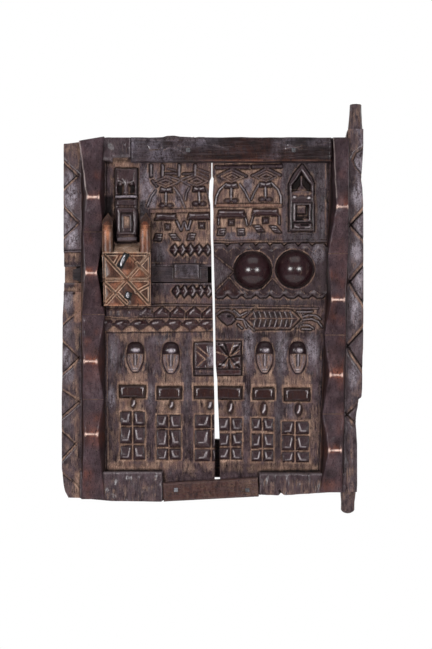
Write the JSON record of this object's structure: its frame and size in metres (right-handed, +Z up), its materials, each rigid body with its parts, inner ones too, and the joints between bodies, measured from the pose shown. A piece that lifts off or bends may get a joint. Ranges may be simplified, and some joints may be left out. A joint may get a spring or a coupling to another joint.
{
  "type": "carved granary door",
  "caption": "Carved plank granary door with mask reliefs, ridged stiles and a sliding tumbler lock, turning on pivots carved from its edge.",
  "frame": {"origin": "middle of the lower pivot's journal, on the pivot axis", "axes": "+Z up along the door's height, +X towards the pivot post seen from the carved side, -Y towards the carved side"},
  "size_m": [0.6025, 0.0975, 0.8206],
  "materials": {
    "carved_wood": "weathered, hand carved",
    "rail_wood": "dark, worn smooth",
    "lock_wood": "reddish, worn smooth",
    "forged_iron": "hand forged, rusted"
  },
  "bodies": {
    "door": {"left_plank": "carved_wood", "right_plank": "carved_wood", "top_rail": "rail_wood", "bottom_rail": "rail_wood", "back_batten": "rail_wood", "lock_case": "lock_wood", "upper_lock_staple": "forged_iron", "lower_lock_staple": "forged_iron", "top_rail_nails": "forged_iron", "bottom_rail_nails": "forged_iron", "back_batten_nails": "forged_iron"},
    "bolt": {"lock_bolt": "lock_wood"},
    "tumbler_1": {"tumbler_1": "forged_iron"},
    "tumbler_2": {"tumbler_2": "forged_iron"},
    "tumbler_3": {"tumbler_3": "forged_iron"}
  },
  "joints": [
    {"name": "bolt_slide", "type": "slide", "parent": "door", "child": "bolt", "axis": [-1, 0, 0], "range_m": [0, 0.042]},
    {"name": "tumbler_1_slide", "type": "slide", "parent": "door", "child": "tumbler_1", "axis": [0, 0, 1], "range_m": [0, 0.006]},
    {"name": "tumbler_2_slide", "type": "slide", "parent": "door", "child": "tumbler_2", "axis": [0, 0, 1], "range_m": [0, 0.006]},
    {"name": "tumbler_3_slide", "type": "slide", "parent": "door", "child": "tumbler_3", "axis": [0, 0, 1], "range_m": [0, 0.006]}
  ]
}
